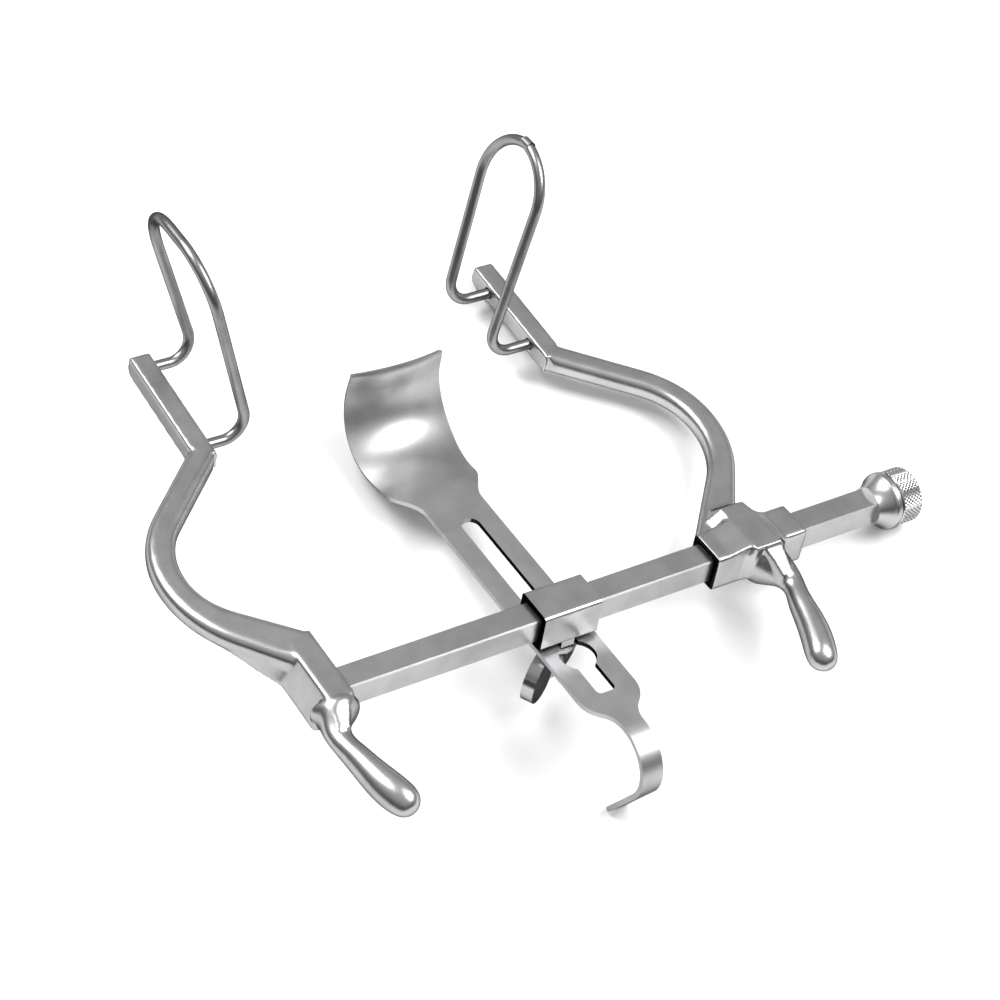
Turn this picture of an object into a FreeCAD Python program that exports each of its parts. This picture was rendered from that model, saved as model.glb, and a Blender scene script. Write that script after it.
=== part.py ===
import FreeCAD, Part
import math
import os

# Abdominal retractor in stainless steel. A fixed arm and a sliding arm spread the
# wound with wire blades, and a saddle shaped centre blade is clamped below a carriage
# on the same square bar.
# X runs along the bar from the fixed arm to the end knob, Y runs from the handles to
# the blades, and Z points up. The bar's centre line is Y = 0, Z = 0, and X = 0 is the
# inner face of the fixed arm, where the opening is measured from.

doc = FreeCAD.newDocument("abdominal_retractor")
Vector = FreeCAD.Vector
Rotation = FreeCAD.Rotation

# Driving sizes in millimetres and degrees: alias, value, meaning.
SIZES = [
    ("bar_side", 9.5, "width and height of the square bar"),
    ("bar_length", 210.0, "bar from the fixed arm's inner face to the stop collar"),
    ("bar_edge", 0.5, "small chamfer along the bar's edges"),
    ("tenon_side", 7.5, "square tenon of the bar inside the fixed arm"),
    ("tenon_length", 8.0, "how far the tenon enters the fixed arm"),
    ("screw_radius", 2.4, "threaded shank of the end knob"),
    ("screw_length", 3.0, "how far that shank enters the bar beyond the collar"),
    ("turn_gap", 0.05, "radial clearance of a turning or sliding shaft"),
    ("slide_gap", 0.15, "clearance of a sleeve or carriage on each side of the bar"),
    ("collar_length", 8.2, "domed stop collar along the bar"),
    ("collar_neck", 6.9, "radius of the collar where it meets the bar"),
    ("collar_radius", 10.3, "largest radius of the collar"),
    ("groove_width", 0.7, "shadow groove between collar and knob"),
    ("knob_length", 9.5, "knurled length of the end knob"),
    ("knob_radius", 10.0, "radius of the end knob"),
    ("opening", 147.0, "distance between the datum faces of the two arms"),
    ("arm_rise", 4.5, "angle by which both arms rise towards the blades"),
    ("rod_height", 7.5, "height of the forged arm rod"),
    ("rod_round", 3.0, "rounding of the bow's long edges"),
    ("seat_width", 8.0, "width of the straight blade seat"),
    ("seat_end", 154.0, "far end of the blade seat from the bar"),
    ("seat_edge", 0.8, "rounding of the blade seat's edges"),
    ("seat_nose", 3.2, "rounding below the blade seat's far end"),
    ("bow_reach", 35.4, "how far the bow stands outside the datum face"),
    ("bow_width", 9.7, "width of the bow's rod at its widest reach"),
    ("bow_middle", 57.5, "distance from the bar to the widest reach"),
    ("bow_far_radius", 38.5, "outer radius of the bow on the blade side"),
    ("bow_far_angle", 43.5, "slope of the straight run behind the blade seat"),
    ("bow_near_outer", 46.0, "outer radius of the bow on the bar side"),
    ("fixed_near_inner", 25.5, "inner radius of the fixed bow on the bar side"),
    ("fixed_near_angle", 42.0, "turn of the fixed bow's outer side towards the bar"),
    ("fixed_root_angle", 47.0, "turn of the fixed bow's inner side towards the bar"),
    ("fixed_inner_run", 24.0, "straight run of the fixed bow's inner side into its block"),
    ("fixed_outer_run", 22.0, "straight run of the fixed bow's outer side into its block"),
    ("sliding_near_inner", 36.0, "inner radius of the sliding bow on the bar side"),
    ("sliding_near_angle", 35.0, "turn of the sliding bow's outer side towards the bar"),
    ("sliding_root_angle", 42.0, "turn of the sliding bow's inner side towards the bar"),
    ("sliding_inner_run", 36.2, "straight run of the sliding bow's inner side into its sleeve"),
    ("sliding_outer_run", 30.5, "straight run of the sliding bow's outer side into its sleeve"),
    ("block_front", 8.0, "front face of the fixed arm's block from the bar centre"),
    ("block_back", 22.0, "back corner of the fixed arm's block"),
    ("block_top", 5.4, "top face of the fixed arm's block"),
    ("block_bottom", 7.0, "depth of the fixed arm's block below the bar centre"),
    ("block_crest", 9.2, "width of the fixed arm's block at the top"),
    ("block_foot", 14.4, "width of the fixed arm's block at the bottom"),
    ("sleeve_wall", 2.4, "wall of the sliding arm's sleeve"),
    ("sleeve_edge", 1.5, "rounding of the sleeve's long edges"),
    ("sleeve_inner", 8.0, "sleeve inside the sliding arm's datum face"),
    ("sleeve_outer", 29.5, "sleeve outside the sliding arm's datum face"),
    ("ridge_inner", 6.0, "inner edge of the sliding arm's crest"),
    ("ridge_width", 10.5, "width of the sliding arm's crest"),
    ("ridge_height", 1.7, "crest above the sleeve's top"),
    ("ridge_front", 9.2, "front face of the crest from the bar centre"),
    ("ridge_back", 15.5, "back end of the crest from the bar centre"),
    ("handle_start", 5.0, "where the handles start inside the arms' blocks"),
    ("handle_neck", 8.4, "width of a handle at its neck"),
    ("handle_bulb", 11.8, "width of a handle at its bulb"),
    ("handle_level", 0.7, "how far a handle's middle lies below the arm's plane"),
    ("brow_length", 9.0, "length of the slope from an arm's front edge onto its handle"),
    ("brow_inset", 2.0, "inner edge of that slope inside the arm's outer edge"),
    ("web_length", 13.0, "how far the fixed block's web runs out below the bow"),
    ("fixed_handle_end", 50.0, "rounded end of the fixed handle from the bar centre"),
    ("fixed_handle_width", 13.0, "width of the fixed handle at its root"),
    ("fixed_handle_root", 8.0, "middle of the fixed handle's root outside the datum face"),
    ("fixed_handle_knee", 9.0, "middle of the fixed handle's neck outside the datum face"),
    ("fixed_handle_tip", 3.4, "middle of the fixed handle's end outside the datum face"),
    ("sliding_handle_end", 54.5, "rounded end of the sliding handle from the bar centre"),
    ("sliding_handle_width", 13.6, "width of the sliding handle at its root"),
    ("sliding_handle_root", 16.6, "middle of the sliding handle's root"),
    ("sliding_handle_knee", 14.6, "middle of the sliding handle's neck"),
    ("sliding_handle_tip", 6.8, "middle of the sliding handle's end"),
    ("wire_radius", 1.95, "radius of the blade wire"),
    ("fixed_loop_near", 109.4, "near leg of the fixed arm's wire loop from the bar"),
    ("fixed_loop_far", 149.6, "far leg of the fixed arm's wire loop from the bar"),
    ("fixed_loop_rise", 76.7, "top of the fixed arm's wire loop above the bar"),
    ("fixed_loop_inset", 24.1, "that loop's foot inside the datum face of its arm"),
    ("fixed_near_skew", 4.9, "how far that loop's near leg leans away from the bar"),
    ("fixed_far_skew", 14.8, "how far that loop's far leg leans away from the bar"),
    ("sliding_loop_near", 113.7, "near leg of the sliding arm's wire loop from the bar"),
    ("sliding_loop_far", 142.4, "far leg of the sliding arm's wire loop from the bar"),
    ("sliding_loop_rise", 81.7, "top of the sliding arm's wire loop above the bar"),
    ("sliding_loop_inset", 26.3, "that loop's foot inside the datum face of its arm"),
    ("sliding_near_skew", 5.4, "how far that loop's near leg leans away from the bar"),
    ("sliding_far_skew", 12.4, "how far that loop's far leg leans away from the bar"),
    ("loop_lean", 14.8, "angle by which the loop leans outwards"),
    ("loop_corner", 19.0, "radius of the loop's upper corners"),
    ("foot_corner", 8.0, "radius of the bend at the loop's foot"),
    ("foot_depth", 5.0, "how far the wire is set into the blade seat"),
    ("carriage_start", 70.2, "left end of the carriage at rest"),
    ("carriage_length", 22.0, "length of the carriage"),
    ("stud_offset", 0.5, "clamp stud beside the carriage's middle"),
    ("carriage_wall", 2.3, "wall of the carriage round the bar"),
    ("carriage_edge", 1.5, "rounding of the carriage's long edges"),
    ("tongue_width", 5.0, "tongue below the carriage, along the bar"),
    ("tongue_drop", 2.7, "depth of the tongue, which enters the slot"),
    ("tongue_length", 13.0, "length of the tongue across the bar"),
    ("shank_gap", 1.2, "gap between carriage and shank while the nut is slack"),
    ("stud_radius", 2.4, "radius of the clamp stud"),
    ("stud_end", 22.0, "lower end of the stud below the carriage"),
    ("shank_width", 22.2, "width of the centre blade's shank"),
    ("sheet_gauge", 1.8, "thickness of the centre blade"),
    ("slot_width", 7.0, "width of the shank's slot"),
    ("slot_back", 58.0, "rear end of the slot from the bar"),
    ("slot_front", 30.2, "front end of the slot from the bar"),
    ("slot_corner", 1.8, "rounding of the slot's front corners"),
    ("keyhole_radius", 6.4, "round opening that passes over the nut"),
    ("keyhole_front", 12.5, "centre of that opening in front of the bar"),
    ("shoulder_front", 29.5, "where the shank starts to narrow"),
    ("hook_start", 45.5, "where the narrow hook strip starts"),
    ("hook_width", 7.8, "width of the hook strip"),
    ("hook_bend", 46.0, "where the hook starts to curl down"),
    ("hook_radius", 13.2, "middle radius of the hook"),
    ("hook_turn", 121.0, "how far the hook curls"),
    ("hook_tail", 19.5, "straight end of the hook"),
    ("blade_start", 66.0, "where the shank widens into the blade"),
    ("blade_bend", 90.0, "where the blade starts to rise"),
    ("blade_radius", 19.5, "middle radius of the blade's bend"),
    ("blade_turn", 98.0, "how far the blade turns up"),
    ("blade_top", 4.2, "straight run above the bend"),
    ("blade_half", 19.5, "half of the blade's full width"),
    ("blade_shoulder", 17.6, "half width where the shoulder ends"),
    ("blade_lip_half", 18.0, "half of the width at the lip"),
    ("blade_crown", 3.2, "how far the blade's sides fall away from its middle"),
    ("crown_start", 4.0, "flat run of the blade before its sides start to fall"),
    ("lip_length", 3.6, "rolled back lip at the blade's end"),
    ("lip_turn", 32.0, "angle by which the lip rolls back"),
    ("nut_flange", 7.2, "radius of the wing nut's upper face"),
    ("nut_waist", 4.8, "radius of the wing nut's lower end"),
    ("nut_height", 10.5, "height of the wing nut's hub"),
    ("wing_reach", 17.0, "reach of a wing from the stud"),
    ("wing_drop", 21.0, "lowest point of a wing below the nut's face"),
    ("wing_gauge", 4.4, "thickness of a wing"),
    ("ear_radius", 7.0, "radius of a wing's lower outer corner"),
    ("wing_angle", 30.0, "turn of the wings from the bar's direction at rest"),
    ("nut_gap", 0.3, "gap between the shank and the slack nut below it"),
    ("seat_gap", 0.05, "gap between the faces of the knob and the collar"),
]

sheet = doc.addObject("Spreadsheet::Sheet", "Sizes")
for row, (alias, value, meaning) in enumerate(SIZES, start=1):
    sheet.set("A%d" % row, meaning)
    sheet.set("B%d" % row, str(value))
    sheet.setAlias("B%d" % row, alias)
doc.recompute()


def size(alias):
    return float(getattr(sheet, alias))


def bind(thing, **formulas):
    """Ties properties to formulas of the sheet, where a size is written as <name>."""
    for name, formula in formulas.items():
        expression = formula.replace("<", "Sizes.").replace(">", "")
        thing.setExpression(name.replace("__", "."), expression)


def origin_plane(body, role):
    return next(f for f in body.Origin.OriginFeatures if f.Role == role)


def new_sketch(body, name, role, offset=None):
    """A sketch on one of the body's own planes, moved by a placement in that plane."""
    sketch = body.newObject("Sketcher::SketchObject", name)
    sketch.AttachmentSupport = [(origin_plane(body, role), "")]
    sketch.MapMode = "FlatFace"
    if offset is not None:
        sketch.AttachmentOffset = offset
    return sketch


def draw(sketch, start, *steps):
    """A closed outline: a step is a corner, or a point on an arc and the arc's end."""
    here = Vector(*start, 0)
    for step in steps + (start,):
        if len(step) == 2:
            there = Vector(*step, 0)
            if there.distanceToPoint(here) > 1e-6:
                sketch.addGeometry(Part.LineSegment(here, there), False)
        else:
            there = Vector(*step[2:], 0)
            sketch.addGeometry(Part.Arc(here, Vector(*step[:2], 0), there), False)
        here = there


def new_pad(body, name, sketch, formula, both_ways=False):
    pad = body.newObject("PartDesign::Pad", name)
    pad.Profile = sketch
    pad.SideType = "Symmetric" if both_ways else "One side"
    bind(pad, Length=formula)
    return pad


def new_fillet(body, name, base, radius, wanted):
    """Rounds the edges of the base feature for which wanted(edge) is true."""
    doc.recompute()
    names = ["Edge%d" % (i + 1) for i, e in enumerate(base.Shape.Edges) if wanted(e)]
    fillet = body.newObject("PartDesign::Fillet", name)
    fillet.Base = (base, names)
    bind(fillet, Radius=radius)
    return fillet


def turned(centre, radius, angle):
    """The point of a circle at an angle in degrees from its first axis."""
    a = math.radians(angle)
    return centre[0] + radius * math.cos(a), centre[1] + radius * math.sin(a)


def fused(name, *pieces):
    fusion = doc.addObject("Part::MultiFuse", name)
    fusion.Shapes = list(pieces)
    fusion.Refine = False
    return fusion


def cut(name, base, *tools):
    result = base
    for i, tool in enumerate(tools):
        step = doc.addObject("Part::Cut", name if i == len(tools) - 1 else name + "_step")
        step.Base = result
        step.Tool = tool
        result = step
    return result


def cylinder(name, radius, height, placement):
    thing = doc.addObject("Part::Cylinder", name)
    thing.Placement = placement
    bind(thing, Radius=radius, Height=height)
    return thing


def box(name, length, width, height, **place):
    thing = doc.addObject("Part::Box", name)
    bind(thing, Length=length, Width=width, Height=height)
    bind(thing, **{"Placement__Base__" + axis: formula for axis, formula in place.items()})
    return thing


# Plan of an arm's bow. The first coordinate is the distance outside the arm's datum
# face, the second the distance from the bar. Its two sides are straight runs joined by
# tangent arcs, and its root end lies inside the arm's block.
def bow_plan(arm):
    reach, middle = size("bow_reach"), size("bow_middle")
    far_angle, near_angle = size("bow_far_angle"), size(arm + "_near_angle")
    inner_angle = size(arm + "_root_angle")
    inner_run, outer_run = size(arm + "_inner_run"), size(arm + "_outer_run")
    width, seat = size("bow_width"), size("seat_width")
    outer, inner = size("bow_far_radius"), size("bow_far_radius") - width
    near_outer, near_inner = size("bow_near_outer"), size(arm + "_near_inner")
    far_centre = (reach - outer, middle)
    outer_centre = (reach - near_outer, middle)
    inner_centre = (reach - width - near_inner, middle)
    slope = math.tan(math.radians(far_angle))
    outer_start = turned(far_centre, outer, 90 - far_angle)
    inner_start = turned(far_centre, inner, 90 - far_angle)
    outer_corner = (0.0, outer_start[1] + outer_start[0] * slope)
    inner_corner = (-seat, inner_start[1] + (inner_start[0] + seat) * slope)
    outer_end = turned(outer_centre, near_outer, -near_angle)
    inner_end = turned(inner_centre, near_inner, -inner_angle)
    outer_root = turned(outer_end, outer_run, -near_angle - 90)
    inner_root = turned(inner_end, inner_run, -inner_angle - 90)
    half_far = (90 - far_angle) / 2
    outline = [
        outer_corner,
        outer_start,
        turned(far_centre, outer, half_far) + (reach, middle),
        turned(outer_centre, near_outer, -near_angle / 2) + outer_end,
        outer_root,
        inner_root,
        inner_end,
        turned(inner_centre, near_inner, -inner_angle / 2) + (reach - width, middle),
        turned(far_centre, inner, half_far) + inner_start,
        inner_corner,
    ]
    closing = [math.dist(outer_corner, inner_corner), math.dist(outer_root, inner_root)]
    return outline, outer_corner, inner_corner, closing


def mirrored_steps(points, side):
    """Turns distances outside the datum face into X on one side of the wound."""
    return [tuple(side * v if i % 2 == 0 else v for i, v in enumerate(step)) for step in points]


def make_bow(name, side, arm):
    """The curved rod, padded both ways from the arm's rising plane."""
    body = doc.addObject("PartDesign::Body", name)
    rise = FreeCAD.Placement(Vector(), Rotation(Vector(1, 0, 0), size("arm_rise")))
    outline, outer_corner, inner_corner, closing = bow_plan(arm)
    plan = new_sketch(body, name + "_plan", "XY_Plane", rise)
    draw(plan, *mirrored_steps(outline, side))
    pad = new_pad(body, name + "_pad", plan, "<rod_height>", both_ways=True)
    half = size("rod_height") / 2
    up = rise.Rotation.multVec(Vector(0, 0, 1))

    def long_edge(edge):
        level = all(abs(abs(v.Point.dot(up)) - half) < 1e-4 for v in edge.Vertexes)
        return level and all(abs(edge.Length - length) > 1e-3 for length in closing)

    fillet = new_fillet(body, name + "_round", pad, "<rod_round>", long_edge)
    body.Tip = fillet
    return body, outer_corner, inner_corner


def make_seat(name, side, outer_corner, inner_corner):
    """The straight end that carries the wire blade."""
    body = doc.addObject("PartDesign::Body", name)
    rise = FreeCAD.Placement(Vector(), Rotation(Vector(1, 0, 0), size("arm_rise")))
    plan = new_sketch(body, name + "_plan", "XY_Plane", rise)
    seat, end = size("seat_width"), size("seat_end")
    points = [(0, end), outer_corner, inner_corner, (-seat, end)]
    draw(plan, *mirrored_steps(points, side))
    pad = new_pad(body, name + "_pad", plan, "<rod_height>", both_ways=True)
    half = size("rod_height") / 2
    up = rise.Rotation.multVec(Vector(0, 0, 1))

    def rim(edge):
        top = all(abs(v.Point.dot(up) - half) < 1e-4 for v in edge.Vertexes)
        return top and max(v.Point.y for v in edge.Vertexes) > end - seat

    def lower_end(edge):
        low = all(v.Point.dot(up) < 1e-4 - half for v in edge.Vertexes)
        return low and min(v.Point.y for v in edge.Vertexes) > end - seat

    nose = new_fillet(body, name + "_nose", pad, "<seat_nose>", lower_end)

    fillet = new_fillet(body, name + "_round", nose, "<seat_edge>", rim)
    body.Tip = fillet
    return body


def make_handle(name, side, root_height):
    """A forged handle: oval sections lofted from the arm to a rounded bulb."""
    body = doc.addObject("PartDesign::Body", name)
    start, end = -size("handle_start"), -size(name + "_end")
    root, knee, tip = (size(name + part) for part in ("_root", "_knee", "_tip"))
    width, neck, bulb = size(name + "_width"), size("handle_neck"), size("handle_bulb")
    # Share of the length, middle outside the datum face, width and height.
    stations = [
        (0.0, root, width, root_height),
        (0.18, (root + knee) / 2, (width + neck) / 2, root_height * 0.75 + neck * 0.25),
        (0.40, knee, neck, neck),
        (0.60, (knee * 2 + tip) / 3, (neck + bulb) / 2, (neck + bulb) / 2),
        (0.80, (knee + tip * 3) / 4, bulb, bulb * 0.92),
        (0.93, tip, bulb * 0.84, bulb * 0.78),
        (0.985, tip, bulb * 0.5, bulb * 0.46),
        (1.0, tip, bulb * 0.16, bulb * 0.15),
    ]
    slope = math.tan(math.radians(size("arm_rise")))
    sketches = []
    for i, (share, middle, wide, high) in enumerate(stations):
        y = start + (end - start) * share
        centre = Vector(side * middle, y * slope - size("handle_level"), 0)
        place = FreeCAD.Placement(Vector(0, 0, -y), Rotation())
        section = new_sketch(body, "%s_section_%d" % (name, i), "XZ_Plane", place)
        if wide >= high:
            ends = centre + Vector(wide / 2, 0, 0), centre + Vector(0, high / 2, 0)
        else:
            ends = centre + Vector(0, high / 2, 0), centre + Vector(-wide / 2, 0, 0)
        if abs(wide - high) < 1e-3:
            section.addGeometry(Part.Circle(centre, Vector(0, 0, 1), wide / 2), False)
        else:
            section.addGeometry(Part.Ellipse(ends[0], ends[1], centre), False)
        sketches.append(section)
    loft = body.newObject("PartDesign::AdditiveLoft", name + "_loft")
    loft.Profile = sketches[0]
    loft.Sections = sketches[1:]
    doc.recompute()
    return body


def ruled_loft(name, side, places):
    """A solid with straight sides through polygons that stand across Y."""
    body = doc.addObject("PartDesign::Body", name + "_blank")
    sections = []
    for i, (y, points) in enumerate(places):
        place = FreeCAD.Placement(Vector(0, 0, -y), Rotation())
        section = new_sketch(body, "%s_section_%d" % (name, i), "XZ_Plane", place)
        draw(section, *[(side * outward, z) for outward, z in points])
        sections.append(section)
    loft = body.newObject("PartDesign::AdditiveLoft", name + "_loft")
    loft.Profile = sections[0]
    loft.Sections = sections[1:]
    loft.Ruled = True
    return body


def make_brow(name, side, front, top, inner, outer):
    """The flat slope that falls from an arm's front edge onto its handle's neck."""
    neck, long = size("handle_neck") / 2, size("brow_length")
    knee = size(name[:name.index("_")] + "_handle_knee")
    slope = math.tan(math.radians(size("arm_rise")))
    low = neck - (front + long) * slope - size("handle_level") - 0.1
    foot = -neck * 0.8
    places = (
        (1 - front, [(inner, foot), (inner, top), (outer, top), (outer + 3.4, foot)]),
        (-front - long * 0.4, [(inner + 1.8, foot), (inner + 1.8, (top + low) / 2 + 0.4),
                               (outer + 0.4, (top + low) / 2 + 0.4), (outer + 2.8, foot)]),
        (-front - long, [(knee - neck * 0.6, foot), (knee - neck * 0.6, low),
                         (knee + neck * 0.45, low), (knee + neck * 0.55, foot)]),
    )
    return ruled_loft(name, side, places)


def wire_path(arm, side):
    """The wire loop's centre line: straight runs joined by tangent arcs."""
    lean = math.tan(math.radians(size("loop_lean")))
    slope = math.tan(math.radians(size("arm_rise")))
    near, far, top = (size(arm + part) for part in ("_loop_near", "_loop_far", "_loop_rise"))
    inset = size(arm + "_loop_inset")
    buried = size("seat_width") - size("foot_depth")
    inset_top = inset - lean * (top - (near + far) / 2 * slope)
    corners = [
        (buried, near, near * slope),
        (inset, near, near * slope),
        (inset_top, near + size(arm + "_near_skew"), top),
        (inset_top, far + size(arm + "_far_skew"), top),
        (inset, far, far * slope),
        (buried, far, far * slope),
    ]
    points = [Vector(-side * x, y, z) for x, y, z in corners]
    radii = [size("foot_corner"), size("loop_corner"), size("loop_corner"), size("foot_corner")]
    edges, here = [], points[0]
    for before, corner, after, radius in zip(points, points[1:], points[2:], radii):
        incoming = (before - corner).normalize()
        outgoing = (after - corner).normalize()
        opening = incoming.getAngle(outgoing)
        tangent = radius / math.tan(opening / 2)
        first, last = corner + incoming * tangent, corner + outgoing * tangent
        bisector = (incoming + outgoing).normalize()
        middle = corner + bisector * (radius / math.sin(opening / 2) - radius)
        edges.append(Part.LineSegment(here, first).toShape())
        edges.append(Part.Arc(first, middle, last).toShape())
        here = last
    edges.append(Part.LineSegment(here, points[-1]).toShape())
    return Part.Wire(edges)


def make_wire_blade(name, arm, side):
    path = wire_path(arm, side)
    start = path.Edges[0].valueAt(path.Edges[0].FirstParameter)
    heading = path.Edges[0].tangentAt(path.Edges[0].FirstParameter)
    section = Part.Wire(Part.makeCircle(size("wire_radius"), start, heading))
    blade = doc.addObject("Part::Feature", name)
    blade.Shape = path.makePipeShell([section], True, True)
    return blade


def wire_tool(name, arm, side):
    """The two holes in the blade seat that the wire's ends are set into."""
    path = wire_path(arm, side)
    holes = []
    for edge in (path.Edges[0], path.Edges[-1]):
        ends = [edge.Vertexes[0].Point, edge.Vertexes[-1].Point]
        ends.sort(key=lambda p: abs(p.x))
        holes.append(Part.makeCylinder(size("wire_radius"), edge.Length, ends[0], ends[1] - ends[0]))
    tool = doc.addObject("Part::Feature", name)
    tool.Shape = Part.makeCompound(holes)
    return tool


LEFT, RIGHT = -1, 1


# Cross bar: square stock with a tenon at one end and a tapped bore at the other.
def make_cross_bar():
    half = "-<bar_side> / 2"
    blank = box("bar_blank", "<bar_length>", "<bar_side>", "<bar_side>", y=half, z=half)
    doc.recompute()
    edges = []
    for i, edge in enumerate(blank.Shape.Edges):
        if abs(edge.Length - size("bar_length")) < 1e-6:
            edges.append((i + 1, size("bar_edge"), size("bar_edge")))
    bar = doc.addObject("Part::Chamfer", "bar_chamfered")
    bar.Base = blank
    bar.Edges = edges
    tenon = box("bar_tenon", "<tenon_length> + 1", "<tenon_side>", "<tenon_side>",
                x="-<tenon_length>", y="-<tenon_side> / 2", z="-<tenon_side> / 2")
    along = FreeCAD.Placement(Vector(), Rotation(Vector(0, 1, 0), 90))
    bore = cylinder("bar_bore", "<screw_radius> + <turn_gap>", "<screw_length> + 2", along)
    bind(bore, Placement__Base__x="<bar_length> - <screw_length> - 1")
    return cut("cross_bar", fused("bar_with_tenon", bar, tenon), bore)


def make_stop_collar():
    """Domed washer between the bar's end and the knurled knob."""
    body = doc.addObject("PartDesign::Body", "stop_collar")
    length, neck, radius = size("collar_length"), size("collar_neck"), size("collar_radius")
    bore = size("screw_radius") + size("turn_gap")
    start = size("bar_length")
    profile = new_sketch(body, "collar_profile", "XZ_Plane")
    flare = start + length * 0.62
    draw(profile, (start, bore), (start, neck),
         (start + length * 0.38, neck + (radius - neck) * 0.36, flare, radius - 0.8),
         (flare + 0.7, radius - 0.2, flare + 1.6, radius), (start + length - 0.6, radius),
         (start + length, radius - 0.6), (start + length, bore))
    turn = body.newObject("PartDesign::Revolution", "collar_turned")
    turn.Profile = profile
    turn.ReferenceAxis = (profile, ["H_Axis"])
    turn.Angle = 360
    return body


def make_end_knob():
    """Knurled end screw: a drum with a threaded shank that enters the bar."""
    body = doc.addObject("PartDesign::Body", "knob_blank")
    start = size("bar_length") + size("collar_length") + size("seat_gap")
    groove, length, radius = size("groove_width"), size("knob_length"), size("knob_radius")
    shank = size("screw_radius")
    tip = size("bar_length") - size("screw_length")
    profile = new_sketch(body, "knob_profile", "XZ_Plane")
    draw(profile, (tip, 0), (tip, shank - 0.5), (tip + 0.5, shank), (start, shank),
         (start, radius - 1.2), (start + groove, radius - 1.2), (start + groove, radius - 0.3),
         (start + groove + 0.3, radius), (start + length - 1.6, radius),
         (start + length - 0.5, radius - 0.5, start + length, radius - 1.7), (start + length, 0))
    turn = body.newObject("PartDesign::Revolution", "knob_turned")
    turn.Profile = profile
    turn.ReferenceAxis = (profile, ["H_Axis"])
    turn.Angle = 360
    return body


def make_web():
    """Web that deepens the fixed bow's rod down to the block's underside."""
    top, bottom = size("block_top") - 0.2, 0.3 - size("block_bottom")
    crest, foot, back = size("block_crest"), size("block_foot"), size("block_back")
    reach = size("bow_reach") - size("bow_near_outer")
    middle, radius = size("bow_middle"), size("bow_near_outer")
    end = back + size("web_length")
    side = reach + math.sqrt(radius ** 2 - (middle - end) ** 2)
    near = turned((reach, middle), radius, -size("fixed_near_angle"))
    slope = math.tan(math.radians(size("fixed_near_angle")))
    level = end * math.tan(math.radians(size("arm_rise")))
    rod = size("rod_height") / 2
    corner = near[0] - (near[1] - back) * slope - 0.2
    bend = near[0] - 0.2
    places = (
        (back - 8, [(2, bottom), (2, top), (crest - 0.2, top), (foot - 2.6, 0), (foot - 0.2, bottom)]),
        (back, [(corner - 10, bottom + 0.5), (corner - 10, top), (corner - 2.7, top),
                (corner, top - 2.6), (corner, bottom + 1.9)]),
        (near[1], [(bend - 10, bottom + 2.9), (bend - 10, top + 0.4), (bend - 2.8, top + 0.4),
                   (bend, top - 2), (bend, bottom + 5)]),
        (end, [(side - 9, level - rod + 0.5), (side - 9, level + rod - 0.5),
               (side - 3.4, level + rod - 0.5), (side - 1, level + 1.3), (side - 1, level - 2.8)]),
    )
    return ruled_loft("web", LEFT, places)


# Fixed arm: forged in one piece with its block, bow, blade seat and handle, and socketed
# for the bar's tenon.
def make_fixed_arm():
    body = doc.addObject("PartDesign::Body", "fixed_block")
    back = FreeCAD.Placement(Vector(0, 0, size("block_front")), Rotation())
    section = new_sketch(body, "fixed_block_section", "XZ_Plane", back)
    top, bottom = size("block_top"), -size("block_bottom")
    crest, foot = size("block_crest"), size("block_foot")
    draw(section, (0, bottom), (0, top), (-crest, top), (-foot, bottom))
    pad = new_pad(body, "fixed_block_pad", section, "<block_front> + <block_back>")
    pad.Reversed = True

    def block_rim(edge):
        outside = all(v.Point.x < -1e-3 for v in edge.Vertexes)
        front = all(v.Point.y < -size("block_front") + 1e-3 for v in edge.Vertexes)
        return outside or front

    fillet = new_fillet(body, "fixed_block_round", pad, "1.2", block_rim)
    body.Tip = fillet
    bow, outer_corner, inner_corner = make_bow("fixed_bow", LEFT, "fixed")
    seat = make_seat("fixed_seat", LEFT, outer_corner, inner_corner)
    handle = make_handle("fixed_handle", LEFT, size("block_top") + size("block_bottom") - 2.4)
    brow = make_brow("fixed_brow", LEFT, size("block_front"), size("block_top") - 0.1,
                     size("brow_inset"), size("block_crest"))
    solid = fused("fixed_forging", body, bow, make_web(), seat, handle, brow)
    socket = box("bar_socket", "<tenon_length>", "<tenon_side>", "<tenon_side>",
                 x="-<tenon_length>", y="-<tenon_side> / 2", z="-<tenon_side> / 2")
    return cut("fixed_arm", solid, socket, wire_tool("fixed_wire_holes", "fixed", LEFT))


def make_ridge(wall, top):
    """The crest's ridge, from the handle's root out onto the bow's rod behind the sleeve."""
    left, right = size("ridge_inner"), size("ridge_inner") + size("ridge_width")
    rod = size("rod_height") / 2
    front = [(left, 2 - wall), (left, wall - 2), (left, top), (right, top),
             (right + 2.5, wall - 1.5), (right + 1.5, 2 - wall)]
    wide = [(left - 4, 1 - wall), (left - 4, rod + 1), (left, top), (right, top),
            (right + 3, wall - 1), (right + 2, 1 - wall)]
    full = [(left - 5, 1 - rod), (left - 5, rod + 1), (left, top), (right - 1, top),
            (right + 0.5, rod + 1), (right + 0.5, 1 - rod)]
    thin = [(left - 3, 2 - rod), (left - 3, rod), (left - 1, rod + 1.2), (right - 4, rod + 1.2),
            (right - 2.5, rod), (right - 2.5, 2 - rod)]
    places = ((-size("ridge_front"), front), (1 - wall, wide), (wall - 1, wide),
              (size("ridge_back") - 3, full), (size("ridge_back") + 1, thin))
    return ruled_loft("ridge", RIGHT, places)


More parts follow.
